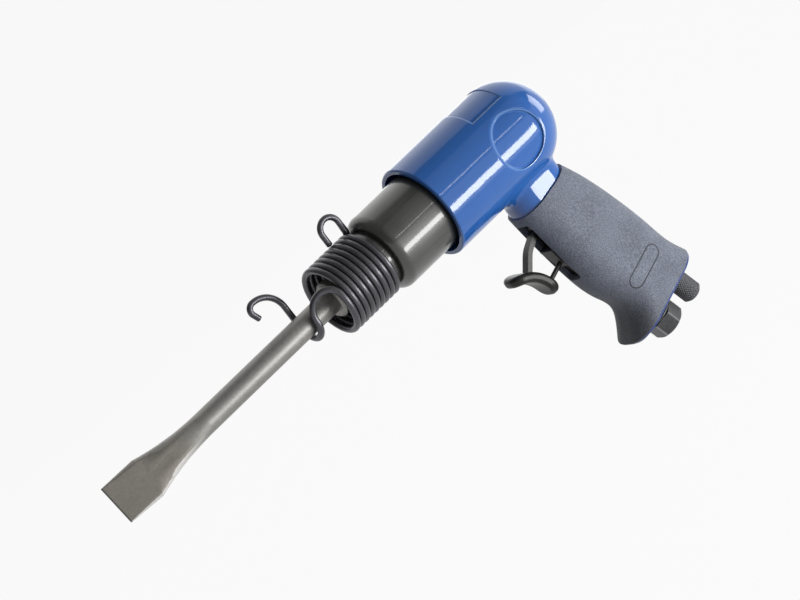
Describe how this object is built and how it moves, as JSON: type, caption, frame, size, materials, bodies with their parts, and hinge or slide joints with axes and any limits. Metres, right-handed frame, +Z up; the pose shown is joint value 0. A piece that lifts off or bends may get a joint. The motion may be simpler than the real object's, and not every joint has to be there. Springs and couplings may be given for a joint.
{
  "type": "air hammer",
  "caption": "Pistol-grip air hammer: painted body on a raked rubber grip, short barrel, coiled retainer spring with hook holding a flat chisel, lever trigger, regulator knob, threaded inlet.",
  "frame": {"origin": "centre of the muzzle: the barrel nose's front face on the bore's axis", "axes": "+X forward out of the barrel along the chisel, +Y to the tool's left, +Z up, away from the handle"},
  "size_m": [0.2925, 0.0484, 0.1521],
  "materials": {
    "blue_paint": "glossy blue paint on a cast alloy body",
    "grip_rubber": "matte grained rubber",
    "black_steel": "blackened steel with an oil sheen",
    "forged_steel": "satin forged steel",
    "spring_steel": "near-black satin spring wire",
    "bright_steel": "ground steel",
    "black_plastic": "matte black",
    "seal_rubber": "matte black",
    "brass_sieve": "dull"
  },
  "bodies": {
    "body": {"housing": "blue_paint", "grip_sleeve": "grip_rubber", "barrel": "black_steel", "retainer_spring": "spring_steel", "valve_seat": "bright_steel", "valve_cover": "bright_steel", "valve_pins": "bright_steel", "valve_gasket": "seal_rubber", "trigger_pin": "bright_steel", "throttle_bushing": "black_plastic", "throttle_spring": "spring_steel", "regulator_pin": "bright_steel", "inlet_bushing": "black_steel", "inlet_washer": "black_plastic", "inlet_screen": "brass_sieve"},
    "trigger": {"trigger": "black_steel"},
    "throttle": {"throttle_stem": "black_steel", "throttle_seal": "seal_rubber"},
    "regulator": {"regulator_knob": "black_steel", "regulator_seal": "seal_rubber"},
    "piston": {"piston": "bright_steel"},
    "chisel": {"chisel": "forged_steel"},
    "valve_plate": {"valve_disc": "bright_steel"}
  },
  "joints": [
    {"name": "trigger_pull", "type": "hinge", "parent": "body", "child": "trigger", "pos_m": [-0.09253, 0, -0.04096], "axis": [0, 1, 0], "range_deg": [0, 8.9], "stiffness_Nm_per_rad": 0.012, "springref_deg": -22.92},
    {"name": "throttle_push", "type": "slide", "parent": "body", "child": "throttle", "axis": [-0.9563, 0, 0.2924], "range_m": [0, 0.0028], "deforming": ["throttle_spring"]},
    {"name": "regulator_turn", "type": "hinge", "parent": "body", "child": "regulator", "pos_m": [-0.13124, 0, -0.1019], "axis": [-0.2924, 0, -0.9563], "range_deg": [0, 180]},
    {"name": "piston_stroke", "type": "slide", "parent": "body", "child": "piston", "axis": [1, 0, 0], "range_m": [0, 0.041]},
    {"name": "chisel_slide", "type": "slide", "parent": "body", "child": "chisel", "axis": [1, 0, 0], "range_m": [-0.0025, 0.008]},
    {"name": "valve_flip", "type": "slide", "parent": "body", "child": "valve_plate", "axis": [1, 0, 0], "range_m": [0, 0.0007]}
  ],
  "couplings": [
    {"joint": "trigger_pull", "follows": "throttle_push", "rad_per_m": 55.477}
  ]
}
